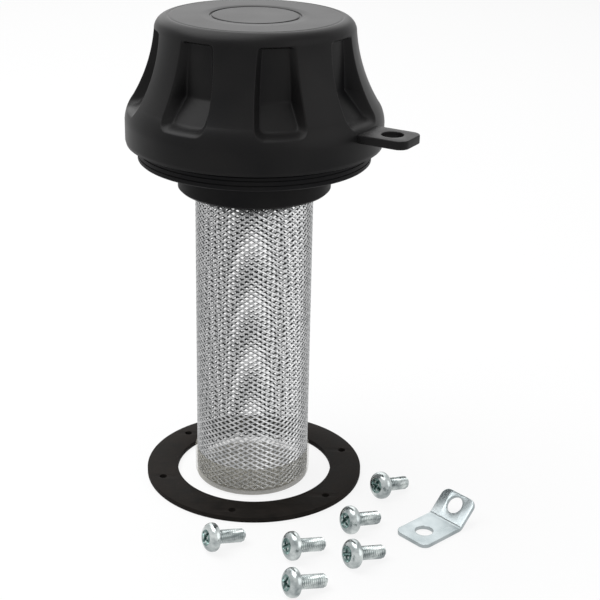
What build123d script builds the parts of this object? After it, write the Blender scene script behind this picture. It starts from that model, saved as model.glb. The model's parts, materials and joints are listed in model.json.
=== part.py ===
import os
from math import atan2, cos, radians, sin

from build123d import *

os.makedirs("parts", exist_ok=True)

# Tank flange and neck
flange_d = 83.0  # plate that sits on the tank
flange_t = 5.0
flange_edge = 0.4
flange_layers = 3  # the step lines round the plate edge part it into layers
flange_groove_depth = 0.35
flange_groove_w = 0.4
bolt_edge = 5.0  # from the bolt circle to the rim of the plate
bolt_count = 6
bolt_hole_d = 5.5
bolt_turn = -30.0  # angle of the first hole
neck_h = 11.1
neck_base_z = 115.5  # the basket hangs this far below the neck
neck_wall = 3.5
neck_edge = 0.8
throat_step = 0.8  # ledge the basket collar is pushed up against
lip_t = 2.8  # bayonet lip at the top of the throat
lip_reach = 3.4
slot_w = 18.0

# Basket
mesh_d = 42.6
mesh_t = 0.7
mesh_base_z = 3.0
mesh_rows = 10
mesh_columns = 12
window_w = 8.6
window_h = 8.2
strand = 2.2  # least height left between two windows of one column
cup_wall = 0.65
cup_h = 11.5
cup_floor_t = 1.5
cup_corner_r = 2.2
collar_h = 5.3
collar_w = 2.62
collar_rise = 1.8  # from the mouth of the neck to the collar
end_lip = 0.9  # overlap of cup and collar over the ends of the mesh
snap_ring_t = 0.9
snap_ring_w = 1.9
snap_ring_bite = 1.0  # how deep it sits in the neck wall
snap_ring_gap = 6.0

# Cap shell: heights are above its lower edge, insets are inward from the skirt
cap_d = 91.4
cap_h = 44.3
cap_lip_gap = 1.1  # slit above the flange where the air enters
cap_lip_inset = 0.3
skirt_h = 8.3
slope_h = 15.3
slope_inset = 2.6
waist_h = 26.3
waist_inset = 7.8
crown_h = 40.3
crown_inset = 10.8
crown_bulge = 1.1
top_flat_inset = 15.2
shoulder_bulge = 0.5
cap_wall = 2.4
ring_mark_d = 32.0
ring_mark_w = 1.0
ring_mark_depth = 0.4

# Grip pockets
pocket_count = 8
pocket_turn = -31.5
pocket_knee_h = 24.3
pocket_knee_inset = 12.3
pocket_floor_h = 14.1
pocket_floor_inset = 4.7
pocket_rim_h = 11.3
pocket_rim_inset = 0.6
pocket_low_w = 17.5
pocket_high_w = 12.3
pocket_corner_r = 4.2
pocket_knee_r = 1.2

# Padlock lug
lug_turn = -30.0
lug_w = 14.5
lug_t = 3.0
lug_top_h = 10.5
lug_hole_reach = 8.6  # from the skirt to the middle of the hole
lug_end = 8.0  # from the middle of the hole to the tip
lug_hole_d = 7.5
lug_corner = 3.6

# Inside the cap
retainer_t = 2.0
retainer_rim = 0.6  # outside the filter
retainer_edge = 0.5
vent_count = 8
vent_d = 5.0
vent_circle_d = 32.0
filter_gap = 0.8
filter_pleats = 36
pleat_depth = 2.2
insert_plate_t = 1.6
rib_h = 3.0
rib_t = 1.6
seat_ring_d = 46.0
boss_d = 12.0
nut_d = 7.6
nut_h = 10.0
nut_rise = 0.8
bridge_w = 16.0
bridge_t = 1.5
bridge_drop = 1.2  # room between bridge and bayonet lip
spring_wire_d = 1.4
spring_d = 11.4
spring_turns = 3
washer_d = 16.0
washer_t = 1.0
centre_screw_d = 5.0
centre_head_d = 9.6
centre_head_h = 3.0
centre_head_edge = 0.6
centre_hex_depth = 1.8
centre_tip = 0.5
centre_screw_reach = 9.0
seal_land = 1.3  # from the throat to the seal
seal_w = 5.0
seal_t = 2.8
seal_edge = 0.45

# Loose pieces set down beside the breather
gasket_t = 2.0
gasket_inner_d = 59.3
gasket_hole_d = 2.8
gasket_shift = (0.7, 1.3)
gasket_turn = 19.3
screw_d = 5.0
screw_l = 12.0
screw_tip = 0.5
screw_head_d = 10.2
screw_head_h = 3.7
screw_head_round = 2.0
screw_cross_l = 5.4
screw_cross_w = 1.3
screw_cross_depth = 2.2
screw_cross_taper = 12.0
screw_spots = [
    (-10.9, -58.4, 31.1),
    (17.4, -62.9, 29.9),
    (17.7, -85.4, 28.2),
    (38.0, -44.8, 33.8),
    (38.3, -67.1, 30.2),
    (50.1, -19.3, 37.6),
]
bracket_spot = (72.4, -37.4)
bracket_turn = 223.0
bracket_w = 15.0
bracket_t = 1.5
bracket_flat_l = 19.5
bracket_up_l = 11.8
bracket_bend = 45.0
bracket_bend_r = 1.6
bracket_hole_d = 6.5
bracket_flat_hole = 11.8
bracket_up_hole = 7.2
bracket_corner = 3.0

# Cutters
cutter_overrun = 2.0  # how far a cutter passes the face it opens
same_size = 0.01  # how closely an edge has to match a size to be picked

# Clearances
press_gap = 0.04  # radial, between pieces pushed together
moving_gap = 0.3  # between the cap side and the tank side
tip_gap = 0.8  # between the bridge ends and the throat
screw_hole_gap = 0.3  # radial, round the centre screw in retainer and washer

# Dependent sizes
flange_r = flange_d / 2
bolt_circle_r = flange_r - bolt_edge
flange_base_z = neck_base_z + neck_h
flange_top_z = flange_base_z + flange_t
mesh_r = mesh_d / 2
mesh_inner_r = mesh_r - mesh_t
cup_bore_r = mesh_r + press_gap
cup_r = cup_bore_r + cup_wall
collar_r = cup_bore_r + collar_w
collar_base_z = neck_base_z + collar_rise
collar_top_z = collar_base_z + collar_h
mesh_top_z = collar_top_z - end_lip
neck_bore_r = collar_r + press_gap
neck_r = neck_bore_r + neck_wall
throat_r = neck_bore_r - throat_step
lip_r = throat_r - lip_reach
lip_base_z = flange_top_z - lip_t
cap_r = cap_d / 2
cap_lip_r = cap_r - cap_lip_inset
cap_bore_r = cap_r - cap_wall
cap_base_z = flange_top_z + cap_lip_gap
cap_top_z = cap_base_z + cap_h
skirt_top_z = cap_base_z + skirt_h
slope_z = cap_base_z + slope_h
slope_r = cap_r - slope_inset
waist_z = cap_base_z + waist_h
waist_r = cap_r - waist_inset
crown_z = cap_base_z + crown_h
crown_r = cap_r - crown_inset
top_flat_r = cap_r - top_flat_inset
knee_z = cap_base_z + pocket_knee_h
knee_r = cap_r - pocket_knee_inset
floor_z = cap_base_z + pocket_floor_h
floor_r = cap_r - pocket_floor_inset
rim_z = cap_base_z + pocket_rim_h
rim_r = cap_r - pocket_rim_inset
cavity_top_z = cap_top_z - cap_wall
cavity_r = knee_r - cap_wall
lug_top_z = cap_base_z + lug_top_h
lug_base_z = lug_top_z - lug_t
lug_root_r = cap_bore_r + press_gap
lug_hole_r = cap_r + lug_hole_reach
lug_tip_r = lug_hole_r + lug_end
seal_base_z = flange_top_z + moving_gap
seal_inner_r = throat_r + seal_land
seal_r = seal_inner_r + seal_w
retainer_base_z = seal_base_z + seal_t + moving_gap
retainer_top_z = retainer_base_z + retainer_t
filter_r = cavity_r - filter_gap
retainer_r = filter_r + retainer_rim
plate_base_z = cavity_top_z - insert_plate_t
rib_base_z = plate_base_z - rib_h
bridge_top_z = lip_base_z - bridge_drop
bridge_base_z = bridge_top_z - bridge_t
bridge_r = throat_r - tip_gap
washer_base_z = retainer_base_z - washer_t
nut_base_z = retainer_top_z + nut_rise

# Flange with neck, throat and bayonet lips
with BuildPart() as flange:
    with BuildSketch(Plane.XZ):
        with BuildLine():
            Polyline(
                (neck_bore_r, neck_base_z),
                (neck_r, neck_base_z),
                (neck_r, flange_base_z),
                (flange_r, flange_base_z),
                (flange_r, flange_top_z),
                (lip_r, flange_top_z),
                (lip_r, lip_base_z),
                (throat_r, lip_base_z),
                (throat_r, collar_top_z),
                (neck_bore_r, collar_top_z),
                close=True,
            )
        make_face()
    revolve(axis=Axis.Z)
    rims = flange.edges().filter_by(GeomType.CIRCLE)
    plate_rims = rims.filter_by(lambda edge: abs(edge.radius - flange_r) < same_size)
    neck_rims = rims.filter_by(lambda edge: abs(edge.radius - neck_r) < same_size)
    chamfer(plate_rims, flange_edge)
    chamfer(neck_rims.sort_by(Axis.Z)[:1], neck_edge)
    # slots that let the bridge through the lips
    with BuildSketch(Plane.XY.offset(lip_base_z)):
        Circle(throat_r)
        Rectangle(2 * throat_r, slot_w, mode=Mode.INTERSECT)
    extrude(amount=lip_t, mode=Mode.SUBTRACT)
    # bolt holes
    with BuildSketch(Plane.XY.offset(flange_base_z)):
        with PolarLocations(bolt_circle_r, bolt_count, start_angle=bolt_turn):
            Circle(bolt_hole_d / 2)
    extrude(amount=flange_t, mode=Mode.SUBTRACT)
    # step lines round the edge of the plate
    for layer in range(1, flange_layers):
        with BuildSketch(Plane.XY.offset(flange_base_z + layer * flange_t / flange_layers)):
            Circle(flange_r + cutter_overrun)
            Circle(flange_r - flange_groove_depth, mode=Mode.SUBTRACT)
        extrude(amount=flange_groove_w, mode=Mode.SUBTRACT)
    # groove for the snap ring below the basket collar
    with BuildSketch(Plane.XY.offset(collar_base_z - snap_ring_t - press_gap)):
        Circle(neck_bore_r + snap_ring_bite)
    extrude(amount=snap_ring_t + press_gap, mode=Mode.SUBTRACT)
flange.part.label = "flange"
export_step(flange.part, "parts/flange.step")

# Basket wall: a sleeve pierced by staggered diamond windows
with BuildPart() as basket_mesh:
    with BuildSketch(Plane.XY.offset(mesh_base_z)):
        Circle(mesh_r)
        Circle(mesh_inner_r, mode=Mode.SUBTRACT)
    extrude(amount=mesh_top_z - mesh_base_z)
    window_low_z = cup_h + window_h / 2 + strand
    window_high_z = neck_base_z - window_h / 2 - strand
    row_step = (window_high_z - window_low_z) / (mesh_rows - 1)
    for odd in (0, 1):
        for column in range(mesh_columns // 2):
            turn = (column + odd / 2) * 360 / mesh_columns
            heights = [window_low_z + row * row_step for row in range(odd, mesh_rows, 2)]
            with BuildSketch(Plane.XZ.rotated((0, 0, turn))):
                with Locations([(0, height) for height in heights]):
                    Polygon(
                        (window_w / 2, 0),
                        (0, window_h / 2),
                        (-window_w / 2, 0),
                        (0, -window_h / 2),
                    )
            extrude(amount=mesh_r + cutter_overrun, both=True, mode=Mode.SUBTRACT)
basket_mesh.part.label = "basket_mesh"
export_step(basket_mesh.part, "parts/basket_mesh.step")

# Cup that closes the lower end of the basket
with BuildPart() as basket_end_cup:
    with BuildSketch(Plane.XY):
        Circle(cup_r)
    extrude(amount=cup_h)
    fillet(basket_end_cup.edges().sort_by(Axis.Z)[:1], cup_corner_r)
    with BuildSketch(Plane.XY.offset(mesh_base_z)):
        Circle(cup_bore_r)
    extrude(amount=cup_h, mode=Mode.SUBTRACT)
    with BuildSketch(Plane.XY.offset(cup_floor_t)):
        Circle(mesh_r - end_lip)
    extrude(amount=mesh_base_z - cup_floor_t, mode=Mode.SUBTRACT)
basket_end_cup.part.label = "basket_end_cup"
export_step(basket_end_cup.part, "parts/basket_end_cup.step")

# Collar that carries the upper end of the basket in the neck
with BuildPart() as basket_collar:
    with BuildSketch(Plane.XY.offset(collar_base_z)):
        Circle(collar_r)
        Circle(cup_bore_r, mode=Mode.SUBTRACT)
    extrude(amount=collar_h)
    with BuildSketch(Plane.XY.offset(mesh_top_z)):
        Circle(collar_r)
        Circle(mesh_r - end_lip, mode=Mode.SUBTRACT)
    extrude(amount=end_lip)
basket_collar.part.label = "basket_collar"
export_step(basket_collar.part, "parts/basket_collar.step")

# Open snap ring under the collar
with BuildPart() as snap_ring:
    with BuildSketch(Plane.XY.offset(collar_base_z - snap_ring_t)):
        Circle(neck_bore_r + snap_ring_bite - press_gap)
        Circle(neck_bore_r + snap_ring_bite - snap_ring_w, mode=Mode.SUBTRACT)
        with Locations((neck_r, 0)):
            Rectangle(neck_r, snap_ring_gap, mode=Mode.SUBTRACT)
    extrude(amount=snap_ring_t)
snap_ring.part.label = "snap_ring"
export_step(snap_ring.part, "parts/snap_ring.step")

# One grip pocket, on the +X side
with BuildPart() as pocket_tool:
    with BuildSketch(Plane.XZ) as pocket_section:
        with BuildLine():
            Polyline(
                (crown_r, crown_z),
                (knee_r, knee_z),
                (floor_r, floor_z),
                (rim_r, rim_z),
                (cap_r + cutter_overrun, rim_z),
                (cap_r + cutter_overrun, crown_z),
                close=True,
            )
        make_face()
        knee = pocket_section.vertices().sort_by(Axis.X)[:1]
        fillet(knee, pocket_knee_r)
    revolve(axis=Axis.Z)
    with BuildSketch(Plane.YZ) as pocket_outline:
        with BuildLine():
            Polyline(
                (-pocket_low_w / 2, rim_z),
                (pocket_low_w / 2, rim_z),
                (pocket_high_w / 2, crown_z),
                (-pocket_high_w / 2, crown_z),
                close=True,
            )
        make_face()
        fillet(pocket_outline.vertices().sort_by(Axis.Z)[:2], pocket_corner_r)
    extrude(amount=cap_r + cutter_overrun, mode=Mode.INTERSECT)

# Cap shell with grip pockets and padlock lug
with BuildPart() as cap:
    with BuildSketch(Plane.XZ):
        with BuildLine():
            Line((cap_bore_r, cap_base_z), (cap_lip_r, cap_base_z))
            Line((cap_lip_r, cap_base_z), (cap_r, cap_base_z + 3 * cap_lip_inset))
            Line((cap_r, cap_base_z + 3 * cap_lip_inset), (cap_r, skirt_top_z))
            shoulder_middle = (cap_r - slope_inset / 2 + shoulder_bulge, (skirt_top_z + slope_z) / 2)
            ThreePointArc((cap_r, skirt_top_z), shoulder_middle, (slope_r, slope_z))
            ThreePointArc((slope_r, slope_z), (waist_r, waist_z), (crown_r, crown_z))
            crown_middle = ((crown_r + top_flat_r) / 2 + crown_bulge, (crown_z + cap_top_z) / 2 + crown_bulge / 3)
            ThreePointArc((crown_r, crown_z), crown_middle, (top_flat_r, cap_top_z))
            Polyline(
                (top_flat_r, cap_top_z),
                (0, cap_top_z),
                (0, cavity_top_z),
                (cavity_r, cavity_top_z),
                (cavity_r, knee_z - cap_wall),
                (cap_bore_r, rim_z - cap_wall),
                (cap_bore_r, cap_base_z),
            )
        make_face()
    revolve(axis=Axis.Z)
    # padlock lug
    with BuildSketch(Plane.XY.offset(lug_base_z).rotated((0, 0, lug_turn))):
        with Locations(((lug_root_r + lug_tip_r) / 2, 0)):
            Rectangle(lug_tip_r - lug_root_r, lug_w)
        with Locations((lug_hole_r, 0)):
            Circle(lug_hole_d / 2, mode=Mode.SUBTRACT)
    extrude(amount=lug_t)
    lug_uprights = cap.edges().filter_by(Axis.Z).sort_by_distance((0, 0, lug_top_z))
    fillet(lug_uprights[-2:], lug_corner)
    # grip pockets
    with PolarLocations(0, pocket_count, start_angle=pocket_turn):
        add(pocket_tool.part, mode=Mode.SUBTRACT)
    # plain ring mark in the middle of the crown
    with BuildSketch(Plane.XY.offset(cap_top_z - ring_mark_depth)):
        Circle(ring_mark_d / 2)
        Circle(ring_mark_d / 2 - ring_mark_w, mode=Mode.SUBTRACT)
    extrude(amount=ring_mark_depth, mode=Mode.SUBTRACT)
cap.part.label = "cap"
export_step(cap.part, "parts/cap.step")

# Insert under the crown: plate, ribs, filter seat and the boss for the centre screw
with BuildPart() as cap_insert:
    with BuildSketch(Plane.XY.offset(plate_base_z)):
        Circle(cavity_r - press_gap)
    extrude(amount=insert_plate_t)
    with BuildSketch(Plane.XY.offset(rib_base_z)):
        Circle(seat_ring_d / 2)
        Circle(seat_ring_d / 2 - rib_t, mode=Mode.SUBTRACT)
        with PolarLocations(cavity_r / 2, pocket_count, start_angle=pocket_turn):
            Rectangle(cavity_r - 2 * filter_gap, rib_t)
    extrude(amount=rib_h)
    with BuildSketch(Plane.XY.offset(retainer_top_z)):
        Circle(boss_d / 2)
    extrude(amount=plate_base_z - retainer_top_z)
    with BuildSketch(Plane.XY.offset(retainer_top_z)):
        Circle(nut_d / 2 + press_gap)
    extrude(amount=nut_rise + nut_h, mode=Mode.SUBTRACT)
cap_insert.part.label = "cap_insert"
export_step(cap_insert.part, "parts/cap_insert.step")

# Fluted air filter standing on the retainer
with BuildPart() as air_filter:
    with BuildSketch(Plane.XY.offset(retainer_top_z)):
        with BuildLine():
            flutes = []
            for step in range(2 * filter_pleats):
                reach = filter_r - (step % 2) * pleat_depth
                angle = radians(step * 180 / filter_pleats)
                flutes.append((reach * cos(angle), reach * sin(angle)))
            Polyline(flutes, close=True)
        make_face()
        Circle(boss_d / 2 + filter_gap, mode=Mode.SUBTRACT)
    extrude(amount=rib_base_z - retainer_top_z)
air_filter.part.label = "air_filter"
export_step(air_filter.part, "parts/air_filter.step")

# Vented retainer plate under the filter
with BuildPart() as filter_retainer:
    with BuildSketch(Plane.XY.offset(retainer_base_z)):
        Circle(retainer_r)
        Circle(centre_screw_d / 2 + screw_hole_gap, mode=Mode.SUBTRACT)
        with PolarLocations(vent_circle_d / 2, vent_count):
            Circle(vent_d / 2, mode=Mode.SUBTRACT)
    extrude(amount=retainer_t)
    chamfer(filter_retainer.edges().group_by(Axis.Z)[0].sort_by(SortBy.RADIUS)[-1:], retainer_edge)
filter_retainer.part.label = "filter_retainer"
export_step(filter_retainer.part, "parts/filter_retainer.step")

# Seal ring between flange and retainer
with BuildPart() as cap_seal:
    with BuildSketch(Plane.XY.offset(seal_base_z)):
        Circle(seal_r)
        Circle(seal_inner_r, mode=Mode.SUBTRACT)
    extrude(amount=seal_t)
    chamfer(cap_seal.edges().filter_by(GeomType.CIRCLE), seal_edge)
cap_seal.part.label = "cap_seal"
export_step(cap_seal.part, "parts/cap_seal.step")

# Bayonet bridge
with BuildPart() as bayonet_bridge:
    with BuildSketch(Plane.XY.offset(bridge_base_z)):
        Circle(bridge_r)
        Rectangle(2 * bridge_r, bridge_w, mode=Mode.INTERSECT)
        Circle(centre_screw_d / 2 + press_gap, mode=Mode.SUBTRACT)
    extrude(amount=bridge_t)
bayonet_bridge.part.label = "bayonet_bridge"
export_step(bayonet_bridge.part, "parts/bayonet_bridge.step")

# Pressure spring between bridge and washer
with BuildPart() as pressure_spring:
    wire_r = spring_wire_d / 2
    coil_h = washer_base_z - bridge_top_z - spring_wire_d
    with BuildLine() as coil:
        Helix(
            pitch=coil_h / spring_turns,
            height=coil_h,
            radius=spring_d / 2 - wire_r,
            center=(0, 0, bridge_top_z + wire_r),
        )
    with BuildSketch(Plane(origin=coil.line @ 0, z_dir=coil.line % 0)):
        RegularPolygon(wire_r, 8)
    sweep(is_frenet=True)
pressure_spring.part.label = "pressure_spring"
export_step(pressure_spring.part, "parts/pressure_spring.step")

# Washer on the spring
with BuildPart() as spring_washer:
    with BuildSketch(Plane.XY.offset(washer_base_z)):
        Circle(washer_d / 2)
        Circle(centre_screw_d / 2 + screw_hole_gap, mode=Mode.SUBTRACT)
    extrude(amount=washer_t)
spring_washer.part.label = "spring_washer"
export_step(spring_washer.part, "parts/spring_washer.step")

# Threaded nut moulded into the boss
with BuildPart() as boss_nut:
    with BuildSketch(Plane.XY.offset(nut_base_z)):
        Circle(nut_d / 2)
        Circle(centre_screw_d / 2 + press_gap, mode=Mode.SUBTRACT)
    extrude(amount=nut_h)
boss_nut.part.label = "boss_nut"
export_step(boss_nut.part, "parts/boss_nut.step")

# Centre screw that holds bridge, spring and retainer to the cap
with BuildPart() as centre_screw:
    with BuildSketch(Plane.XY.offset(bridge_base_z - centre_head_h)):
        Circle(centre_head_d / 2)
    extrude(amount=centre_head_h)
    chamfer(centre_screw.edges().sort_by(Axis.Z)[:1], centre_head_edge)
    with BuildSketch(Plane.XY.offset(bridge_base_z)):
        Circle(centre_screw_d / 2)
    extrude(amount=nut_base_z + centre_screw_reach - bridge_base_z)
    chamfer(centre_screw.edges().sort_by(Axis.Z)[-1:], centre_tip)
    with BuildSketch(Plane.XY.offset(bridge_base_z - centre_head_h)):
        RegularPolygon(centre_screw_d / 2, 6)
    extrude(amount=centre_hex_depth, mode=Mode.SUBTRACT)
centre_screw.part.label = "centre_screw"
export_step(centre_screw.part, "parts/centre_screw.step")

# Tank gasket, lying round the foot of the basket
with BuildPart() as gasket:
    with BuildSketch(Plane.XY):
        with Locations(gasket_shift):
            Circle(flange_r)
            Circle(gasket_inner_d / 2, mode=Mode.SUBTRACT)
            with PolarLocations(bolt_circle_r, bolt_count, start_angle=gasket_turn):
                Circle(gasket_hole_d / 2, mode=Mode.SUBTRACT)
    extrude(amount=gasket_t)
gasket.part.label = "gasket"
export_step(gasket.part, "parts/gasket.step")

# Cross-head screw, bearing face at the origin and tip on +Z
with BuildPart() as cross_screw:
    with BuildSketch(Plane.XY.offset(-screw_head_h)):
        Circle(screw_head_d / 2)
    extrude(amount=screw_head_h)
    fillet(cross_screw.edges().sort_by(Axis.Z)[:1], screw_head_round)
    with BuildSketch(Plane.XY):
        Circle(screw_d / 2)
    extrude(amount=screw_l)
    chamfer(cross_screw.edges().sort_by(Axis.Z)[-1:], screw_tip)
    with BuildSketch(Plane.XY.offset(-screw_head_h)):
        Rectangle(screw_cross_l, screw_cross_w)
        Rectangle(screw_cross_w, screw_cross_l)
    extrude(amount=screw_cross_depth, taper=screw_cross_taper, mode=Mode.SUBTRACT)

# Each screw lies on the rim of its head and the end of its shank
shank_end = screw_l - screw_tip
rim_drop = (screw_head_d - screw_d) / 2
screw_tilt = atan2(rim_drop, shank_end)
for number, (spot_x, spot_y, turn) in enumerate(screw_spots, start=1):
    heading = radians(turn)
    lying = Plane(
        origin=(spot_x, spot_y, screw_head_d / 2 * cos(screw_tilt)),
        x_dir=(-sin(heading), cos(heading), 0),
        z_dir=(cos(heading) * cos(screw_tilt), sin(heading) * cos(screw_tilt), -sin(screw_tilt)),
    )
    loose_screw = cross_screw.part.moved(lying.location)
    loose_screw.label = f"screw_{number}"
    export_step(loose_screw, f"parts/screw_{number}.step")

# Lock bracket: a bent strip, one leg flat on the ground
bend = radians(bracket_bend)
with BuildPart() as bracket_strip:
    with BuildSketch(Plane.XZ) as side_view:
        with BuildLine():
            mitre = bracket_t * (1 - cos(bend)) / sin(bend)
            Polyline(
                (0, 0),
                (bracket_flat_l, 0),
                (bracket_flat_l, bracket_t),
                (mitre, bracket_t),
                (
                    -bracket_up_l * cos(bend) + bracket_t * sin(bend),
                    bracket_up_l * sin(bend) + bracket_t * cos(bend),
                ),
                (-bracket_up_l * cos(bend), bracket_up_l * sin(bend)),
                close=True,
            )
        make_face()
        corners = side_view.vertices()
        fillet(corners.sort_by_distance((0, 0, 0))[:1], bracket_bend_r + bracket_t)
        inner_corner = side_view.vertices().sort_by_distance((mitre, 0, bracket_t))[:1]
        fillet(inner_corner, bracket_bend_r)
    extrude(amount=bracket_w / 2, both=True)
    with BuildSketch(Plane.XY):
        with Locations((bracket_flat_hole, 0)):
            Circle(bracket_hole_d / 2)
    extrude(amount=bracket_t * 2, mode=Mode.SUBTRACT)
    up_leg = Plane(
        origin=(-bracket_up_hole * cos(bend), 0, bracket_up_hole * sin(bend)),
        x_dir=(-cos(bend), 0, sin(bend)),
        z_dir=(sin(bend), 0, cos(bend)),
    )
    with BuildSketch(up_leg):
        Circle(bracket_hole_d / 2)
    extrude(amount=bracket_t * 2, both=True, mode=Mode.SUBTRACT)
    ends = bracket_strip.edges().filter_by(lambda edge: abs(edge.length - bracket_t) < same_size)
    fillet(ends, bracket_corner)
lock_bracket = bracket_strip.part.moved(Location((*bracket_spot, 0), (0, 0, bracket_turn)))
lock_bracket.label = "lock_bracket"
export_step(lock_bracket, "parts/lock_bracket.step")
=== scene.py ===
import json
import math

import bmesh
import bpy
from mathutils import Matrix, Vector


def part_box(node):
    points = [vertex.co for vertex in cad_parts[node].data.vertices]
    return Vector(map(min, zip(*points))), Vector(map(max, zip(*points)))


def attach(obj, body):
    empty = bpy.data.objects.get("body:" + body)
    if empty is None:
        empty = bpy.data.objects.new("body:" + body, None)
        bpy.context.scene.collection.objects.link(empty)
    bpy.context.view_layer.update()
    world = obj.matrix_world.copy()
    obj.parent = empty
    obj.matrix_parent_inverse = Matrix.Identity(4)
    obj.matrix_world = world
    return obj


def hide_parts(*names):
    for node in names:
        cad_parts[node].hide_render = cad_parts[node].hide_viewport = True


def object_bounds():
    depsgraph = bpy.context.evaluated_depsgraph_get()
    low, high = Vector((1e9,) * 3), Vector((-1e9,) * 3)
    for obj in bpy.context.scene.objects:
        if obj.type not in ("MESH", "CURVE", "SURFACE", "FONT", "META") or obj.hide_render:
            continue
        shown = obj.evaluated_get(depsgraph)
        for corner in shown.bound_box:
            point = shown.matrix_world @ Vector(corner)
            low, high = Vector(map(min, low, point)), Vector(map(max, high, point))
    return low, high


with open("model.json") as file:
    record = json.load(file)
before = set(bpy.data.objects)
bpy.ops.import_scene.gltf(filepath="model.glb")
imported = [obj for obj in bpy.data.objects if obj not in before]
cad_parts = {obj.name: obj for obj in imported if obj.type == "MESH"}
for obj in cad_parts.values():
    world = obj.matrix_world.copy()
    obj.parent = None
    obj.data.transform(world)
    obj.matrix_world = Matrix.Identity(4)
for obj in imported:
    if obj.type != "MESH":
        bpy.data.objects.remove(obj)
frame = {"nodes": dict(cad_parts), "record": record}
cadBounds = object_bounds()
mm = 0.001
sameSpot = 1e-7
bodies = frame["record"]["behaviour"]["bodies"]
bodyOf = {node: body for body, nodes in bodies.items() for node in nodes}
slotOf = {entry["node"]: entry["material_slot"] for entry in frame["record"]["subparts"]}
print("frame loaded,", len(frame["nodes"]), "nodes")


# shared helpers

def mixValue(low, high, share):
    return low + (high - low) * share


def smoothStep(share):
    share = min(max(share, 0.0), 1.0)
    return share * share * (3 - 2 * share)


def softMax(first, second, blend):
    # the larger of two values, with a rounded corner where they cross
    gap = max(blend - abs(first - second), 0.0)
    return max(first, second) + gap * gap / (4 * blend)


def arcThrough(start, middle, end, steps):
    # points on the circle through three points, both ends included
    ax, ay = start
    bx, by = middle
    cx, cy = end
    d = 2 * (ax * (by - cy) + bx * (cy - ay) + cx * (ay - by))
    a2, b2, c2 = ax * ax + ay * ay, bx * bx + by * by, cx * cx + cy * cy
    ux = (a2 * (by - cy) + b2 * (cy - ay) + c2 * (ay - by)) / d
    uy = (a2 * (cx - bx) + b2 * (ax - cx) + c2 * (bx - ax)) / d
    radius = math.hypot(ax - ux, ay - uy)
    first = math.atan2(ay - uy, ax - ux)
    turn = math.atan2(cy - uy, cx - ux) - first
    turn = (turn + math.pi) % (2 * math.pi) - math.pi
    angles = [first + turn * step / steps for step in range(steps + 1)]
    return [(ux + radius * math.cos(a), uy + radius * math.sin(a)) for a in angles]


def straight(start, end, steps):
    # points along a line, without its end
    return [tuple(mixValue(a, b, step / steps) for a, b in zip(start, end)) for step in range(steps)]


def stepped(spot, steps):
    # points given as steps outward and upward from one spot
    return [(spot[0] + out, spot[1] + up) for out, up in steps]


def middleOf(low, high):
    return [(a + b) / 2 for a, b in zip(low, high)]


def meshMiddle(mesh):
    # middle of the box round a mesh
    spots = [vertex.co for vertex in mesh.vertices]
    low, high = ([pick(spot[axis] for spot in spots) for axis in range(3)] for pick in (min, max))
    return middleOf(low, high)


def moveToBox(mesh, node):
    low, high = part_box(node)
    mesh.transform(Matrix.Translation(Vector(middleOf(low, high)) - Vector(meshMiddle(mesh))))


def addPiece(name, mesh, material, sharpAngle):
    mesh.shade_smooth()
    mesh.set_sharp_from_angle(angle=math.radians(sharpAngle))
    if not mesh.materials:
        mesh.materials.append(material)
    piece = bpy.data.objects.new(name, mesh)
    bpy.context.collection.objects.link(piece)
    return piece


def meshFrom(name, verts, faces):
    mesh = bpy.data.meshes.new(name)
    mesh.from_pydata(verts, [], faces)
    mesh.update()
    return mesh


def latheMesh(name, profile, segments):
    # closed ring profile of (radius, height) in millimetres, turned round Z
    verts, faces = [], []
    count = len(profile)
    for segment in range(segments):
        angle = 2 * math.pi * segment / segments
        for radius, height in profile:
            verts.append((radius * math.cos(angle) * mm, radius * math.sin(angle) * mm, height * mm))
    for segment in range(segments):
        here = segment * count
        there = (segment + 1) % segments * count
        for row in range(count):
            nextRow = (row + 1) % count
            faces.append((here + row, there + row, there + nextRow, here + nextRow))
    return meshFrom(name, verts, faces)


def fixNormals(mesh):
    work = bmesh.new()
    work.from_mesh(mesh)
    bmesh.ops.remove_doubles(work, verts=work.verts, dist=sameSpot)
    bmesh.ops.recalc_face_normals(work, faces=work.faces)
    work.to_mesh(mesh)
    work.free()


def cutSheet(name, outlines, thickness, edgeRound, roundSteps=2):
    # flat plate from closed outlines in millimetres: the first is the rim, the rest are holes
    curve = bpy.data.curves.new(name, "CURVE")
    curve.dimensions = "2D"
    curve.fill_mode = "BOTH"
    curve.extrude = (thickness / 2 - edgeRound) * mm
    curve.bevel_depth = edgeRound * mm
    curve.bevel_resolution = roundSteps
    curve.offset = -edgeRound * mm
    for outline in outlines:
        spline = curve.splines.new("POLY")
        spline.points.add(len(outline) - 1)
        spline.use_cyclic_u = True
        for point, (x, y) in zip(spline.points, outline):
            point.co = (x * mm, y * mm, 0, 1)
    blank = bpy.data.objects.new(name, curve)
    bpy.context.collection.objects.link(blank)
    bpy.context.view_layer.update()
    mesh = bpy.data.meshes.new_from_object(blank.evaluated_get(bpy.context.evaluated_depsgraph_get()))
    bpy.data.objects.remove(blank)
    fixNormals(mesh)
    return mesh


def circleLine(x, y, radius, steps, clockwise=False):
    way = -1 if clockwise else 1
    angles = [way * 2 * math.pi * step / steps for step in range(steps)]
    return [(x + radius * math.cos(a), y + radius * math.sin(a)) for a in angles]


def roundedRect(low, high, half, corners, steps=8):
    # rectangle from x low to x high, y -half to half, with a radius for the low and the high end
    lowRound, highRound = corners
    line = []
    spots = [
        (high, half, highRound, 90), (low, half, lowRound, 180),
        (low, -half, lowRound, 270), (high, -half, highRound, 360),
    ]
    for x, y, radius, start in spots:
        cx = x - math.copysign(radius, x - (low + high) / 2)
        cy = y - math.copysign(radius, y)
        for step in range(steps + 1):
            angle = math.radians(start - 90 + 90 * step / steps)
            line.append((cx + radius * math.cos(angle), cy + radius * math.sin(angle)))
    return line


# materials

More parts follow.
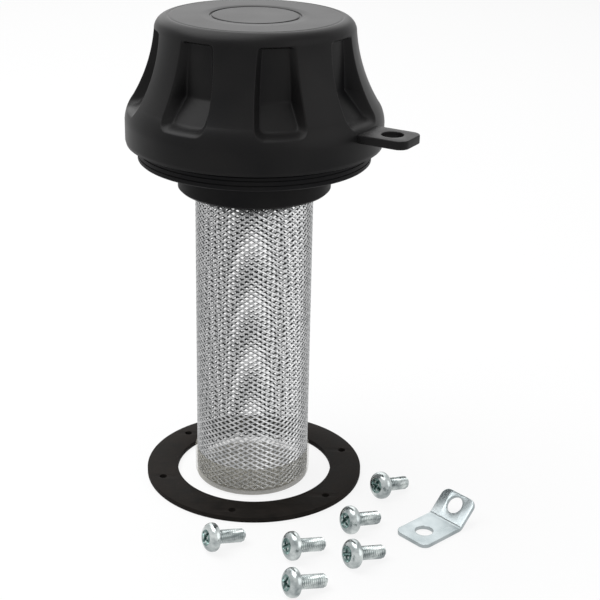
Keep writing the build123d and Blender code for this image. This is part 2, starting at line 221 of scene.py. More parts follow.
def newGroup(name, inputs, outputs):
    group = bpy.data.node_groups.new(name, "ShaderNodeTree")
    for socketName, value in inputs.items():
        socket = group.interface.new_socket(name=socketName, in_out="INPUT", socket_type="NodeSocketFloat")
        socket.default_value = value
    for socketName, kind in outputs.items():
        group.interface.new_socket(name=socketName, in_out="OUTPUT", socket_type=kind)
    return group, group.nodes.new("NodeGroupInput"), group.nodes.new("NodeGroupOutput")


def surfaceGroup(name, fine, slow, gloss):
    # a fine noise gives the height, a slow one the tone and the gloss; each is (socket, scale, detail)
    group, source, result = newGroup(
        name,
        {fine[0]: fine[1], slow[0]: slow[1], "Gloss": gloss[0], "Gloss Spread": gloss[1]},
        {"Height": "NodeSocketFloat", "Tone": "NodeSocketFloat", "Roughness": "NodeSocketFloat"},
    )
    nodes, links = group.nodes, group.links
    place = nodes.new("ShaderNodeTexCoord")
    noises = []
    for socketName, scale, detail in (fine, slow):
        noise = nodes.new("ShaderNodeTexNoise")
        noise.inputs["Detail"].default_value = detail
        links.new(place.outputs["Object"], noise.inputs["Vector"])
        links.new(source.outputs[socketName], noise.inputs["Scale"])
        noises.append(noise)
    spread = nodes.new("ShaderNodeMath")
    spread.operation = "MULTIPLY_ADD"
    links.new(noises[1].outputs["Fac"], spread.inputs[0])
    links.new(source.outputs["Gloss Spread"], spread.inputs[1])
    links.new(source.outputs["Gloss"], spread.inputs[2])
    links.new(noises[0].outputs["Fac"], result.inputs["Height"])
    links.new(noises[1].outputs["Fac"], result.inputs["Tone"])
    links.new(spread.outputs[0], result.inputs["Roughness"])
    return group


# spark-eroded grain with a slow drift of tone, and cloudy zinc plate over a faint drawn grain
grainGroup = surfaceGroup(
    "mouldGrain", ("Grain Scale", 1800.0, 3.0), ("Drift Scale", 40.0, 2.0), (0.45, 0.08)
)
zincGroup = surfaceGroup(
    "platedZinc", ("Streak Scale", 900.0, 2.0), ("Cloud Scale", 180.0, 4.0), (0.25, 0.2)
)
toneStops = (0.3, 0.7)


def makeFinish(name, look):
    # one Principled finish: tone runs between two colours, the group gives grain and gloss
    material = bpy.data.materials.new(name)
    material.use_nodes = True
    nodes, links = material.node_tree.nodes, material.node_tree.links
    shader = nodes["Principled BSDF"]
    shader.inputs["Metallic"].default_value = look.get("metal", 0.0)
    shader.inputs["Specular IOR Level"].default_value = look.get("specular", 0.5)
    # veil: how much each skin hides of what is behind it
    shader.inputs["Alpha"].default_value = look.get("veil", 1.0)
    effect = nodes.new("ShaderNodeGroup")
    effect.node_tree = look["group"]
    for socketName, value in look["effect"].items():
        effect.inputs[socketName].default_value = value
    ramp = nodes.new("ShaderNodeValToRGB")
    for stop, place, tone in zip(ramp.color_ramp.elements, toneStops, (look["dark"], look["light"])):
        stop.position = place
        stop.color = (*tone, 1)
    bump = nodes.new("ShaderNodeBump")
    bump.inputs["Strength"].default_value = look["bump"]
    bump.inputs["Distance"].default_value = look["bumpDepth"] * mm
    links.new(effect.outputs["Tone"], ramp.inputs["Fac"])
    links.new(ramp.outputs["Color"], shader.inputs["Base Color"])
    links.new(effect.outputs["Roughness"], shader.inputs["Roughness"])
    links.new(effect.outputs["Height"], bump.inputs["Height"])
    links.new(bump.outputs["Normal"], shader.inputs["Normal"])
    return material


finishes = {
    "cap_black": {
        "group": grainGroup, "dark": (0.0045, 0.0045, 0.005), "light": (0.0105, 0.010, 0.010),
        "specular": 0.115,
        "effect": {"Grain Scale": 2600, "Drift Scale": 45, "Gloss": 0.34, "Gloss Spread": 0.10},
        "bump": 0.3, "bumpDepth": 0.05,
    },
    "flange_black": {
        "group": grainGroup, "dark": (0.009, 0.009, 0.0098), "light": (0.014, 0.0136, 0.0136),
        "specular": 0.045,
        "effect": {"Grain Scale": 2200, "Drift Scale": 60, "Gloss": 0.40, "Gloss Spread": 0.14},
        "bump": 0.35, "bumpDepth": 0.05,
    },
    "retainer_black": {
        "group": grainGroup, "dark": (0.020, 0.020, 0.022), "light": (0.030, 0.030, 0.032), "specular": 0.4,
        "effect": {"Grain Scale": 2000, "Drift Scale": 80, "Gloss": 0.45, "Gloss Spread": 0.1},
        "bump": 0.3, "bumpDepth": 0.05,
    },
    "gasket_rubber": {
        "group": grainGroup, "dark": (0.008, 0.007, 0.006), "light": (0.018, 0.015, 0.013), "specular": 0.08,
        "effect": {"Grain Scale": 900, "Drift Scale": 160, "Gloss": 0.62, "Gloss Spread": 0.2},
        "bump": 0.5, "bumpDepth": 0.12,
    },
    "seal_rubber": {
        "group": grainGroup, "dark": (0.012, 0.012, 0.012), "light": (0.020, 0.020, 0.020), "specular": 0.35,
        "effect": {"Grain Scale": 1500, "Drift Scale": 120, "Gloss": 0.5, "Gloss Spread": 0.15},
        "bump": 0.3, "bumpDepth": 0.06,
    },
    "filter_paper": {
        "group": grainGroup, "dark": (0.55, 0.43, 0.24), "light": (0.68, 0.56, 0.35), "specular": 0.2,
        "effect": {"Grain Scale": 1400, "Drift Scale": 300, "Gloss": 0.75, "Gloss Spread": 0.15},
        "bump": 0.6, "bumpDepth": 0.15,
    },
    "frosted_cup": {
        "group": grainGroup, "dark": (0.46, 0.435, 0.345), "light": (0.52, 0.495, 0.40), "specular": 0.35,
        "effect": {"Grain Scale": 900, "Drift Scale": 90, "Gloss": 0.22, "Gloss Spread": 0.1},
        "bump": 0.05, "bumpDepth": 0.02, "veil": 0.19,
    },
    "cupFloor": {
        "group": grainGroup, "dark": (0.34, 0.32, 0.25), "light": (0.40, 0.375, 0.295), "specular": 0.3,
        "effect": {"Grain Scale": 900, "Drift Scale": 90, "Gloss": 0.3, "Gloss Spread": 0.1},
        "bump": 0.05, "bumpDepth": 0.02, "veil": 0.7,
    },
    "mesh_zinc": {
        "group": zincGroup, "dark": (0.27, 0.275, 0.278), "light": (0.56, 0.563, 0.566), "metal": 1.0,
        "effect": {"Cloud Scale": 620, "Streak Scale": 2200, "Gloss": 0.18, "Gloss Spread": 0.2},
        "bump": 0.3, "bumpDepth": 0.03,
    },
    # strand sides: rougher sheared metal, with painted shade in their darker colours
    "shadedShearedSide": {
        "group": zincGroup, "dark": (0.05, 0.052, 0.055), "light": (0.16, 0.165, 0.17), "metal": 1.0,
        "effect": {"Cloud Scale": 620, "Streak Scale": 2200, "Gloss": 0.38, "Gloss Spread": 0.2},
        "bump": 0.3, "bumpDepth": 0.03,
    },
    # cross recess: teal tint of the plating, painted darker as shade in the recess
    "screwRecess": {
        "group": zincGroup, "dark": (0.07, 0.12, 0.115), "light": (0.26, 0.36, 0.34), "metal": 1.0,
        "effect": {"Cloud Scale": 500, "Streak Scale": 1600, "Gloss": 0.25, "Gloss Spread": 0.2},
        "bump": 0.15, "bumpDepth": 0.03,
    },
    "screw_zinc": {
        "group": zincGroup, "dark": (0.22, 0.25, 0.255), "light": (0.62, 0.66, 0.65), "metal": 1.0,
        "effect": {"Cloud Scale": 300, "Streak Scale": 1600, "Gloss": 0.12, "Gloss Spread": 0.2},
        "bump": 0.15, "bumpDepth": 0.03,
    },
    "bracket_zinc": {
        "group": zincGroup, "dark": (0.29, 0.33, 0.34), "light": (0.45, 0.49, 0.50), "metal": 1.0,
        "effect": {"Cloud Scale": 120, "Streak Scale": 900, "Gloss": 0.20, "Gloss Spread": 0.2},
        "bump": 0.2, "bumpDepth": 0.03,
    },
    "steel_bright": {
        "group": zincGroup, "dark": (0.56, 0.57, 0.58), "light": (0.74, 0.75, 0.76), "metal": 1.0,
        "effect": {"Cloud Scale": 160, "Streak Scale": 1200, "Gloss": 0.2, "Gloss Spread": 0.2},
        "bump": 0.2, "bumpDepth": 0.03,
    },
    "spring_steel": {
        "group": zincGroup, "dark": (0.34, 0.34, 0.35), "light": (0.50, 0.50, 0.51), "metal": 1.0,
        "effect": {"Cloud Scale": 200, "Streak Scale": 1500, "Gloss": 0.25, "Gloss Spread": 0.2},
        "bump": 0.2, "bumpDepth": 0.03,
    },
    "insert_brass": {
        "group": zincGroup, "dark": (0.60, 0.42, 0.16), "light": (0.78, 0.58, 0.26), "metal": 1.0,
        "effect": {"Cloud Scale": 260, "Streak Scale": 1600, "Gloss": 0.2, "Gloss Spread": 0.2},
        "bump": 0.2, "bumpDepth": 0.03,
    },
}
finish = {name: makeFinish(name, look) for name, look in finishes.items()}
for nodeName, node in frame["nodes"].items():
    node.data.materials.clear()
    node.data.materials.append(finish[slotOf[nodeName]])
print("finishes made")


def standFor(piece, *nodes):
    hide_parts(*nodes)
    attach(piece, bodyOf[nodes[0]])
    return piece


# cap: a turned shell with eight grip pockets, and the padlock lug

capShape = {
    "lipRadius": 45.4, "radius": 45.7, "wall": 2.4,
    "lipSteps": ((-0.3, 0.0), (0.0, 0.15), (0.1, 0.6)),
    "skirtSteps": ((-0.08, 0.95), (0.0, 1.3)), "skirtFoot": 1.8,
    "skirtTop": 141.0, "shoulderBulge": (0.5, 0.2),
    "slope": (43.1, 148.0), "waist": (37.9, 159.0), "crown": (34.9, 173.0), "crownMiddle": (33.8, 175.4),
    "flatRadius": 30.5, "seamSteps": ((-0.25, -0.12), (-0.5, -0.12), (-0.75, 0.0)), "seamEnd": 1.5,
    "ringRadius": 16.0, "ringWidth": 1.0, "ringDepth": 0.4, "ringEdge": 0.15, "ringStep": (0.05, 0.1),
    "ringMargin": 0.6,
    "middle": 0.5, "lineSteps": (2, 8, 34, 56, 16, 4, 5), "sharpAngle": 50,
    "pockets": 8, "pocketTurn": -31.5, "pocketLowHalf": 9.2, "pocketHighHalf": 6.3,
    "pocketRim": 144.0, "pocketCorner": 4.2, "pocketEdge": 1.8, "pocketRound": 0.14,
    "knee": (33.4, 154.4), "wallTop": 32.7, "ceiling": 172.4, "ceilingEdge": 0.9,
    "floorEnd": (40.3, 146.4), "rimSlope": 2.0, "blend": 0.4, "leastRadius": 30.0, "widestSine": 0.9,
    "floorShares": (0.12, 0.24, 0.32), "ribShares": (0.62, 0.74, 0.87),
    "wallShares": (0.345, 0.36, 0.375, 0.39, 0.41, 0.43, 0.45, 0.465,
                   0.475, 0.485, 0.495, 0.505, 0.515, 0.525, 0.54, 0.56),
}
liningShape = {
    "wall": 2.4, "knee": (31.0, 154.6), "skin": 0.6, "rimRise": 0.4, "middle": 1.0,
    "segments": 128, "sharpAngle": 30,
}
lugShape = {
    "turn": -30.0, "half": 7.25, "thick": 3.0, "top": 143.2, "root": 40.0, "end": 62.3,
    "corners": (0.3, 3.6), "hole": 54.3, "holeRadius": 3.75, "holeSteps": 40,
    "edge": 0.35, "edgeSteps": 3, "sharpAngle": 40,
}


def capOutline(shape, base, top):
    # outer line from the inside of the lip to the middle of the crown
    radius, lip, flat = shape["radius"], shape["lipRadius"], shape["flatRadius"]
    slope, crown, skirtTop = shape["slope"], shape["crown"], shape["skirtTop"]
    lipCount, skirtCount, shoulderCount, slopeCount, crownCount, flatCount, middleCount = shape["lineSteps"]
    line = straight((radius - shape["wall"], base), (lip + shape["lipSteps"][0][0], base), lipCount)
    line += stepped((lip, base), shape["lipSteps"])
    line += stepped((radius, base), shape["skirtSteps"])
    line += straight((radius, base + shape["skirtFoot"]), (radius, skirtTop), skirtCount)
    (shoulder,) = stepped(middleOf((radius, skirtTop), slope), [shape["shoulderBulge"]])
    line += arcThrough((radius, skirtTop), shoulder, slope, shoulderCount)[:-1]
    line += arcThrough(slope, shape["waist"], crown, slopeCount)[:-1]
    line += arcThrough(crown, shape["crownMiddle"], (flat, top), crownCount)
    line += stepped((flat, top), shape["seamSteps"])
    outer, margin, edge = shape["ringRadius"], shape["ringMargin"], shape["ringEdge"]
    inner, low = outer - shape["ringWidth"], -shape["ringDepth"]
    out, drop = shape["ringStep"]
    line += straight((flat - shape["seamEnd"], top), (outer + margin, top), flatCount)
    line += stepped((outer, top), ((edge, 0), (-out, -drop), (-edge, low)))
    line += stepped((inner, top), ((edge, low), (out, -drop), (-edge, 0)))
    line += straight((inner - margin, top), (shape["middle"], top), middleCount)
    return line


def pocketRise(shape, height):
    # 0 at the lower rim of a pocket, 1 at the crown
    return (height - shape["pocketRim"]) / (shape["crown"][1] - shape["pocketRim"])


def pocketDepth(shape, radius, height, across):
    # how far the surface is pushed in at this height and distance from a pocket's middle line
    half = mixValue(shape["pocketLowHalf"], shape["pocketHighHalf"], pocketRise(shape, height))
    corner = shape["pocketCorner"]
    sideways = abs(across) - (half - corner)
    downward = shape["pocketRim"] + corner - height
    if sideways > 0 and downward > 0:
        outside = math.hypot(sideways, downward) - corner
    else:
        outside = max(sideways, downward) - corner
    # a drafted wall, rounded where it leaves the skirt and where it meets the floor
    ease = shape["pocketRound"]
    inside = 1 - softMax(1 - softMax(-outside / shape["pocketEdge"], 0.0, ease), 0.0, ease)
    kneeRadius, kneeHeight = shape["knee"]
    endRadius, endHeight = shape["floorEnd"]
    ceiling, wallTop = shape["ceiling"], shape["wallTop"]
    wallLine = kneeRadius + (height - kneeHeight) * (wallTop - kneeRadius) / (ceiling - kneeHeight)
    floorLine = kneeRadius + (kneeHeight - height) * (endRadius - kneeRadius) / (kneeHeight - endHeight)
    rimLine = endRadius + (endHeight - height) * shape["rimSlope"]
    floor = softMax(softMax(wallLine, floorLine, shape["blend"]), rimLine, shape["blend"])
    inside *= smoothStep(0.5 + (ceiling - height) / shape["ceilingEdge"])
    return max(radius - floor, 0.0) * inside


def pocketColumns(shape):
    # places across one sector, 0 at a pocket's middle, 0.5 at its walls and 1 at the middle of a rib
    half = [*shape["floorShares"], *shape["wallShares"], *shape["ribShares"]]
    return [-1.0] + [-share for share in reversed(half)] + [0.0] + half


def capShell(shape, base, top):
    outline = capOutline(shape, base, top)
    columns = pocketColumns(shape)
    sector = 360 / shape["pockets"]
    verts, faces = [], []
    for pocket in range(shape["pockets"]):
        for share in columns:
            for radius, height in outline:
                rise = min(max(pocketRise(shape, height), 0), 1)
                half = mixValue(shape["pocketLowHalf"], shape["pocketHighHalf"], rise)
                sine = min(half / max(radius, shape["leastRadius"]), shape["widestSine"])
                wallAngle = math.degrees(math.asin(sine))
                if abs(share) <= 0.5:
                    turn = share / 0.5 * wallAngle
                else:
                    turn = math.copysign(mixValue(wallAngle, sector / 2, (abs(share) - 0.5) / 0.5), share)
                if shape["skirtTop"] < height <= shape["crown"][1]:
                    across = radius * math.sin(math.radians(turn))
                    radius -= pocketDepth(shape, radius, height, across)
                angle = math.radians(shape["pocketTurn"] + pocket * sector + turn)
                verts.append((radius * math.cos(angle) * mm, radius * math.sin(angle) * mm, height * mm))
    rows, lines = len(outline), shape["pockets"] * len(columns)
    for line in range(lines):
        here, there = line * rows, (line + 1) % lines * rows
        for row in range(rows - 1):
            faces.append((here + row, there + row, there + row + 1, here + row + 1))
    faces.append([line * rows + rows - 1 for line in range(lines)])
    return meshFrom("capShell", verts, faces)


def liningLine(shape, outer, base, top):
    # inner skin of the cap, kept clear of the pockets
    skin, middle = shape["skin"], shape["middle"]
    bore, roof = outer["radius"] - shape["wall"], top - shape["wall"]
    rim = outer["pocketRim"] - shape["wall"]
    cavity, bendHeight = shape["knee"]
    line = [(bore, base), (bore, rim), (cavity, bendHeight), (cavity, roof), (middle, roof)]
    line += [(middle, roof + skin), (cavity + skin, roof + skin), (cavity + skin, bendHeight)]
    return line + [(bore + skin, rim + shape["rimRise"]), (bore + skin, base)]


def lugMesh(shape):
    outline = roundedRect(shape["root"], shape["end"], shape["half"], shape["corners"])
    hole = circleLine(shape["hole"], 0, shape["holeRadius"], shape["holeSteps"], clockwise=True)
    mesh = cutSheet("padlockLug", [outline, hole], shape["thick"], shape["edge"], shape["edgeSteps"])
    place = Matrix.Translation((0, 0, (shape["top"] - shape["thick"] / 2) * mm))
    mesh.transform(place @ Matrix.Rotation(math.radians(shape["turn"]), 4, "Z"))
    return mesh


def makeCap(shape, lining, lug):
    low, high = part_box("cap")
    base, top = low[2] / mm, high[2] / mm
    liningMesh = latheMesh("capLining", liningLine(lining, shape, base, top), lining["segments"])
    for mesh, values in ((capShell(shape, base, top), shape), (liningMesh, lining), (lugMesh(lug), lug)):
        standFor(addPiece(mesh.name, mesh, finish["cap_black"], values["sharpAngle"]), "cap")


makeCap(capShape, liningShape, lugShape)
print("cap made")


# basket: expanded metal rolled into a tube

meshShape = {
    "across": 38, "rowPitch": 1.0, "strandWidth": 0.56, "strandThick": 0.46, "twist": 30.0,
    "halfWall": 0.35, "sharpAngle": 30,
}


def makeBasketMesh(shape):
    low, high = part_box("basket_mesh")
    outer = (high[0] - low[0]) / 2 / mm
    base, top = low[2] / mm, high[2] / mm
    halfWall = shape["halfWall"]
    middle = outer - halfWall
    rows = int((top - base) / shape["rowPitch"])
    stepX = 2 * math.pi * middle / shape["across"] / 2
    stepZ = (top - base) / rows
    verts, faces = [], []

    def wrapped(along, height, lift):
        angle = along / middle
        radius = middle + lift
        return (radius * math.cos(angle) * mm, radius * math.sin(angle) * mm, height * mm)

    def strand(x0, z0, x1, z1, lean):
        length = math.hypot(x1 - x0, z1 - z0)
        tx, tz = (x1 - x0) / length, (z1 - z0) / length
        nx, nz = -tz, tx  # sideways within the wall
        half, thick = shape["strandWidth"] / 2, shape["strandThick"] / 2
        c, s = math.cos(math.radians(lean)), math.sin(math.radians(lean))
        square = ((-half, -thick), (half, -thick), (half, thick), (-half, thick))
        corners = [(side * c - out * s, side * s + out * c) for side, out in square]
        first = len(verts)
        for x, z in ((x0, z0), (x1, z1)):
            for sideways, lift in corners:
                height = min(max(z + nz * sideways, base), top)
                verts.append(wrapped(x + nx * sideways, height, min(max(lift, -halfWall), halfWall)))
        for k in range(4):
            faces.append((first + k, first + (k + 1) % 4, first + 4 + (k + 1) % 4, first + 4 + k))

    for row in range(rows):
        shift = row % 2
        for column in range(shape["across"]):
            x = (2 * column + shift) * stepX
            z = base + row * stepZ
            strand(x, z, x + stepX, z + stepZ, -shape["twist"])
            strand(x, z, x - stepX, z + stepZ, shape["twist"])
    mesh = meshFrom("strainerMesh", verts, faces)
    piece = addPiece("strainerMesh", mesh, finish["mesh_zinc"], shape["sharpAngle"])
    mesh.materials.append(finish["shadedShearedSide"])
    for index, face in enumerate(mesh.polygons):
        # every second face of a strand is a sheared side: rougher, and painted darker as shade
        face.material_index = index % 2
    return standFor(piece, "basket_mesh")


makeBasketMesh(meshShape)
print("basket made")


# end cup of frosted plastic

cupShape = {
    "wall": 0.65, "floor": 1.5, "cornerRadius": 2.4, "cornerSteps": 8, "middle": 0.01, "segments": 96,
    "ledge": 0.9, "ledgeHeight": 3.0, "floorEdge": 0.6, "lipRound": 0.25, "lipShare": 0.3,
    "floorFacing": 0.7, "floorMargin": 0.1, "sharpAngle": 40,
}


def makeEndCup(shape):
    low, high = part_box("basket_end_cup")
    outer = (high[0] - low[0]) / 2 / mm
    top = high[2] / mm
    corner, lip, count = shape["cornerRadius"], shape["lipRound"], shape["cornerSteps"]
    middle, floor, edge = shape["middle"], shape["floor"], shape["floorEdge"]
    bore = outer - shape["wall"]
    ledge, small = bore - shape["ledge"], lip * shape["lipShare"]
    line = [(middle, 0.0), (outer * 0.5, 0.0)]
    for step in range(count + 1):
        angle = math.radians(-90 + 90 * step / count)
        line.append((outer - corner + corner * math.cos(angle), corner + corner * math.sin(angle)))
    line += [(outer, top - lip), (outer - small, top - small), (outer - lip, top), (bore, top)]
    line += [(bore, shape["ledgeHeight"]), (ledge, shape["ledgeHeight"])]
    line += [(ledge, floor + edge), (ledge - edge, floor), (middle, floor)]
    mesh = latheMesh("endCup", line, shape["segments"])
    fixNormals(mesh)
    piece = addPiece("endCup", mesh, finish["frosted_cup"], shape["sharpAngle"])
    mesh.materials.append(finish["cupFloor"])
    for face in mesh.polygons:
        if abs(face.normal.z) > shape["floorFacing"] and face.center.z < (floor + shape["floorMargin"]) * mm:
            face.material_index = 1  # the floor is thicker than the wall and hides more
    return standFor(piece, "basket_end_cup")


makeEndCup(cupShape)
print("end cup made")


# screws: pan head with a cross recess and a rolled thread

screwShape = {
    "segments": 64, "headRadius": 5.1, "headHeight": 3.7, "headSide": 1.0, "domeShare": 2.3,
    "topReach": (0.004, 0.664), "topSteps": 30, "sideTurn": (41.3, 90.0), "sideSteps": 12,
    "footSteps": ((0.0, -0.35), (-0.1, -0.08), (-0.35, 0.0)), "neckSteps": ((0.3, 0.0), (0.0, 0.15)),
    "shankRadius": 2.48, "length": 12.0, "shankSteps": 120,
    "pitch": 0.8, "threadDepth": 0.42, "crest": 1.15, "plainNeck": 0.7, "runIn": 0.6,
    "tip": 0.9, "tipTaper": 0.75,
    "armHalf": 0.46, "armFlare": 0.25, "armEdge": 0.35, "armReach": 2.6, "endEdge": 0.5,
    "recessDepth": 1.9, "recessFloor": 0.5, "recessRim": 0.12, "recessMargin": 0.2, "sharpAngle": 40,
    "restRadius": 2.5, "restLength": 0.5,
    "turns": (31.1, 29.9, 28.2, 33.8, 30.2, 37.6), "rolls": (20.0, 48.0, 5.0, 30.0, 62.0, 12.0),
}


def screwRings(shape):
    # rings of (radius, height): the domed top, then the side of the head and the shank
    headRadius, side, power = shape["headRadius"], shape["headSide"], shape["domeShare"]
    rise = shape["headHeight"] - side
    topCount, sideCount = shape["topSteps"], shape["sideSteps"]
    reaches = [mixValue(*shape["topReach"], step / topCount) for step in range(topCount + 1)]
    for step in range(1, sideCount + 1):
        reaches.append(math.sin(math.radians(mixValue(*shape["sideTurn"], step / sideCount))))
    top = []
    for reach in reaches:
        dome = rise * (1 - min(reach, 1.0) ** power) ** (1 / power)
        top.append((headRadius * reach, -side - dome))
    shank = shape["shankRadius"]
    low = stepped((headRadius, 0), shape["footSteps"]) + stepped((shank, 0), shape["neckSteps"])
    start, count = shape["neckSteps"][-1][1], shape["shankSteps"]
    thread = [(shank, mixValue(start, shape["length"], step / count)) for step in range(1, count + 1)]
    return top, low, thread


def recessDrop(shape, x, y):
    # how far the cross recess is sunk here
    reach = math.hypot(x, y)
    flare, armReach = shape["armFlare"], shape["armReach"]
    arm = min(abs(x), abs(y)) - shape["armHalf"] * (1 + flare - flare * reach / armReach)
    web = smoothStep(0.5 - arm / shape["armEdge"]) * smoothStep(0.5 - (reach - armReach) / shape["endEdge"])
    return web * mixValue(shape["recessDepth"], shape["recessFloor"], min(reach / armReach, 1))


def threadCut(shape, angle, height):
    # how far the thread and the tip's taper lie inside the shank
    phase = (height / shape["pitch"] - angle / (2 * math.pi)) % 1.0
    fade = smoothStep((height - shape["plainNeck"]) / shape["runIn"])
    groove = shape["threadDepth"] * smoothStep(abs(phase * 2 - 1) * shape["crest"]) * fade
    return groove + max(0.0, (height - (shape["length"] - shape["tip"])) / shape["tip"]) * shape["tipTaper"]


def makeScrewMesh(shape):
    # bearing face at z = 0, head below it, tip on +Z
    segments = shape["segments"]
    top, low, thread = screwRings(shape)
    rings = top + low + thread
    verts, faces = [], []
    for index, (radius, height) in enumerate(rings):
        for segment in range(segments):
            angle = 2 * math.pi * segment / segments
            r, z = radius, height
            if index < len(top):
                z += recessDrop(shape, r * math.cos(angle), r * math.sin(angle))
            if index >= len(top) + len(low):
                r -= threadCut(shape, angle, z)
            verts.append((r * math.cos(angle) * mm, r * math.sin(angle) * mm, z * mm))
    for ring in range(len(rings) - 1):
        here, there = ring * segments, (ring + 1) * segments
        for segment in range(segments):
            following = (segment + 1) % segments
            faces.append((here + segment, here + following, there + following, there + segment))
    last = (len(rings) - 1) * segments
    faces += [list(range(segments)), list(range(last, last + segments))]
    mesh = meshFrom("crossScrew", verts, faces)
    fixNormals(mesh)
    mesh.materials.append(finish["screw_zinc"])
    mesh.materials.append(finish["screwRecess"])
    edge = (shape["recessRim"] - shape["headHeight"]) * mm
    # faces in the cross recess take the teal finish with its painted shade
    for face in mesh.polygons:
        reach = math.hypot(face.center.x, face.center.y) / mm
        if edge < face.center.z < 0 and reach < shape["armReach"] + shape["recessMargin"]:
            face.material_index = 1
    return mesh


def makeScrews(shape):
    pattern = makeScrewMesh(shape)
    # a screw lies on the rim of its head and the end of its shank
    drop = math.atan2(shape["headRadius"] - shape["restRadius"], shape["length"] - shape["restLength"])
    for number, (turn, roll) in enumerate(zip(shape["turns"], shape["rolls"]), start=1):
        mesh = pattern.copy()
        spin = Matrix.Rotation(math.radians(roll), 4, "Z")
        lay = Matrix.Rotation(math.radians(90) + drop, 4, "Y")
        heading = Matrix.Rotation(math.radians(turn), 4, "Z")
        mesh.transform(heading @ lay @ spin)
        moveToBox(mesh, f"screw_{number}")
        piece = addPiece(f"crossScrew{number}", mesh, finish["screw_zinc"], shape["sharpAngle"])
        standFor(piece, f"screw_{number}")


makeScrews(screwShape)
print("screws made")


# gasket: punched sheet

gasketShape = {
    "radius": 41.5, "rimSteps": 180, "hole": 29.65, "holeSteps": 144,
    "boltRadius": 36.5, "bolts": 6, "boltHole": 1.4, "boltSteps": 20, "turn": 19.3,
    "edge": 0.15, "edgeSteps": 1, "sharpAngle": 40,
}


def makeGasket(shape):
    low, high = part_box("gasket")
    x, y = middleOf(low, high)[:2]
    thick = high[2] - low[2]
    lines = [circleLine(0, 0, shape["radius"], shape["rimSteps"])]
    lines.append(circleLine(0, 0, shape["hole"], shape["holeSteps"], clockwise=True))
    for bolt in range(shape["bolts"]):
        angle = math.radians(shape["turn"] + bolt * 360 / shape["bolts"])
        spot = (shape["boltRadius"] * math.cos(angle), shape["boltRadius"] * math.sin(angle))
        lines.append(circleLine(*spot, shape["boltHole"], shape["boltSteps"], clockwise=True))
    mesh = cutSheet("tankGasket", lines, thick / mm, shape["edge"], shape["edgeSteps"])
    mesh.transform(Matrix.Translation((x, y, thick / 2)))
    return standFor(addPiece("tankGasket", mesh, finish["gasket_rubber"], shape["sharpAngle"]), "gasket")


makeGasket(gasketShape)
print("gasket made")


# lock bracket: a flat blank with two holes, folded up

bracketShape = {
    "width": 15.0, "thick": 1.5, "flat": 19.5, "up": 11.8, "bend": 45.0, "bendRadius": 1.6,
    "flatHole": 11.8, "upHole": 7.2, "holeRadius": 3.25, "holeSteps": 40, "corner": 3.0,
    "edge": 0.2, "edgeSteps": 2, "bendCuts": 10, "sharpAngle": 30, "turn": 223.0,
}


def makeBracket(shape):
    thick, bend = shape["thick"], math.radians(shape["bend"])
    outer = shape["bendRadius"] + thick
    start = outer * math.tan(bend / 2)  # where the underside leaves the ground
    neutral = shape["bendRadius"] + thick / 2
    arc = neutral * bend
    upEnd = start - arc - (shape["up"] - start)
    upHole = start - arc - (shape["upHole"] - start)
    lines = [roundedRect(upEnd, shape["flat"], shape["width"] / 2, (shape["corner"], shape["corner"]))]
    for spot in (shape["flatHole"], upHole):
        lines.append(circleLine(spot, 0, shape["holeRadius"], shape["holeSteps"], clockwise=True))
    mesh = cutSheet("lockBracket", lines, thick, shape["edge"], shape["edgeSteps"])
    work = bmesh.new()
    work.from_mesh(mesh)
    for step in range(shape["bendCuts"] + 1):
        cut = (start - arc * step / shape["bendCuts"]) * mm
        everything = work.verts[:] + work.edges[:] + work.faces[:]
        bmesh.ops.bisect_plane(work, geom=everything, plane_co=(cut, 0, 0), plane_no=(1, 0, 0))
    for vertex in work.verts:
        along, lift = vertex.co.x / mm, vertex.co.z / mm + thick / 2
        if along < start:
            angle = min((start - along) / neutral, bend)
            rest = max(start - along - arc, 0.0)
            reach = outer - lift
            along = start - reach * math.sin(angle) - rest * math.cos(bend)
            lift = outer - reach * math.cos(angle) + rest * math.sin(bend)
        vertex.co.x, vertex.co.z = along * mm, lift * mm
    work.to_mesh(mesh)
    work.free()
    mesh.transform(Matrix.Rotation(math.radians(shape["turn"]), 4, "Z"))
    moveToBox(mesh, "lock_bracket")
    piece = addPiece("lockBracket", mesh, finish["bracket_zinc"], shape["sharpAngle"])
    return standFor(piece, "lock_bracket")


makeBracket(bracketShape)
print("bracket made")

# smooth shading on the nodes that stay as they are
smoothNodes = {
    "sharpAngle": 30,
    "names": ("flange", "basket_collar", "filter_retainer", "bayonet_bridge", "centre_screw"),
}
for nodeName in smoothNodes["names"]:
    node = frame["nodes"][nodeName]
    node.data.shade_smooth()
    node.data.set_sharp_from_angle(angle=math.radians(smoothNodes["sharpAngle"]))
print("kept nodes smoothed")


# stage: pale floor, soft lamps, camera

stageShape = {
    "floorSize": 10.0, "floorDrop": 0.0002, "floorColour": (0.95, 0.95, 0.95), "whiteShare": 0.86,
    "worldColour": (0.94, 0.95, 0.97), "worldLevel": 0.24,
    "lamps": (
        ("keyLamp", (-0.35, 0.02, 0.95), 1.0, 9.0),
        ("fillLamp", (0.80, -0.45, 0.50), 0.9, 2.0),
        ("backLamp", (-0.15, 0.80, 0.80), 1.4, 4.5),
    ),
    "aim": (0.0, 0.0, 0.09),
    "cameraSpot": (0.01726, -0.47656, 0.26581), "cameraDown": 22.16, "cameraRoll": 1.23,
    "lens": 83.04, "sensor": 36.0, "clipStart": 0.01,
}


def lightPathShare(nodes, links):
    # 1 for camera, glossy and transmission rays
    path = nodes.new("ShaderNodeLightPath")
    first = nodes.new("ShaderNodeMath")
    first.operation = "MAXIMUM"
    second = nodes.new("ShaderNodeMath")
    second.operation = "MAXIMUM"
    links.new(path.outputs["Is Camera Ray"], first.inputs[0])
    links.new(path.outputs["Is Glossy Ray"], first.inputs[1])
    links.new(first.outputs[0], second.inputs[0])
    links.new(path.outputs["Is Transmission Ray"], second.inputs[1])
    return second.outputs[0]


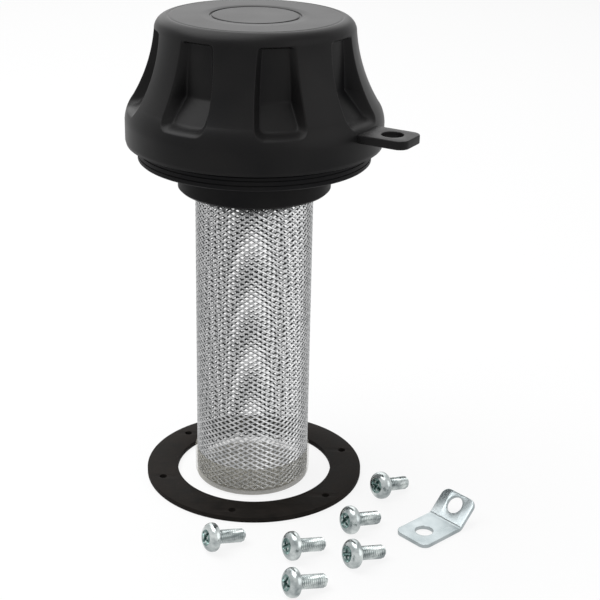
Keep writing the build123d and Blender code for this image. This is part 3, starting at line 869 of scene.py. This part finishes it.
def makeWorld(shape):
    world = bpy.data.worlds.new("paleStudio")
    bpy.context.scene.world = world
    world.use_nodes = True
    nodes, links = world.node_tree.nodes, world.node_tree.links
    nodes.clear()
    soft = nodes.new("ShaderNodeBackground")
    soft.inputs["Color"].default_value = (*shape["worldColour"], 1)
    soft.inputs["Strength"].default_value = shape["worldLevel"]
    white = nodes.new("ShaderNodeBackground")
    white.inputs["Color"].default_value = (1, 1, 1, 1)
    mix = nodes.new("ShaderNodeMixShader")
    result = nodes.new("ShaderNodeOutputWorld")
    links.new(lightPathShare(nodes, links), mix.inputs[0])
    links.new(soft.outputs[0], mix.inputs[1])
    links.new(white.outputs[0], mix.inputs[2])
    links.new(mix.outputs[0], result.inputs["Surface"])


def makeFloor(shape):
    half = shape["floorSize"] / 2
    level = cadBounds[0][2] - shape["floorDrop"]
    corners = [(x * half, y * half, level) for x, y in ((-1, -1), (1, -1), (1, 1), (-1, 1))]
    mesh = meshFrom("paleFloor", corners, [(0, 1, 2, 3)])
    material = bpy.data.materials.new("paleFloor")
    material.use_nodes = True
    nodes, links = material.node_tree.nodes, material.node_tree.links
    nodes.clear()
    matt = nodes.new("ShaderNodeBsdfDiffuse")
    matt.inputs["Color"].default_value = (*shape["floorColour"], 1)
    white = nodes.new("ShaderNodeEmission")
    share = nodes.new("ShaderNodeMath")
    share.operation = "MULTIPLY"
    share.inputs[1].default_value = shape["whiteShare"]
    mix = nodes.new("ShaderNodeMixShader")
    result = nodes.new("ShaderNodeOutputMaterial")
    links.new(lightPathShare(nodes, links), share.inputs[0])
    links.new(share.outputs[0], mix.inputs[0])
    links.new(matt.outputs[0], mix.inputs[1])
    links.new(white.outputs[0], mix.inputs[2])
    links.new(mix.outputs[0], result.inputs["Surface"])
    mesh.materials.append(material)
    floor = bpy.data.objects.new("paleFloor", mesh)
    bpy.context.collection.objects.link(floor)


def aimAt(spot, target):
    return (Vector(target) - Vector(spot)).to_track_quat("-Z", "Y").to_euler()


def makeLamps(shape):
    for name, spot, size, power in shape["lamps"]:
        lamp = bpy.data.lights.new(name, "AREA")
        lamp.shape = "DISK"
        lamp.size = size
        lamp.energy = power
        holder = bpy.data.objects.new(name, lamp)
        holder.location = spot
        holder.rotation_euler = aimAt(spot, shape["aim"])
        bpy.context.collection.objects.link(holder)


def makeCamera(shape):
    data = bpy.data.cameras.new("productCamera")
    data.lens = shape["lens"]
    data.sensor_width = shape["sensor"]
    data.clip_start = shape["clipStart"]
    camera = bpy.data.objects.new("productCamera", data)
    tilt = Matrix.Rotation(math.radians(90 - shape["cameraDown"]), 4, "X")
    roll = Matrix.Rotation(math.radians(shape["cameraRoll"]), 4, "Z")
    camera.matrix_world = Matrix.Translation(shape["cameraSpot"]) @ tilt @ roll
    bpy.context.collection.objects.link(camera)
    bpy.context.scene.camera = camera


makeWorld(stageShape)
makeFloor(stageShape)
makeLamps(stageShape)
makeCamera(stageShape)
bpy.context.scene.view_settings.view_transform = "Standard"
print("stage made")
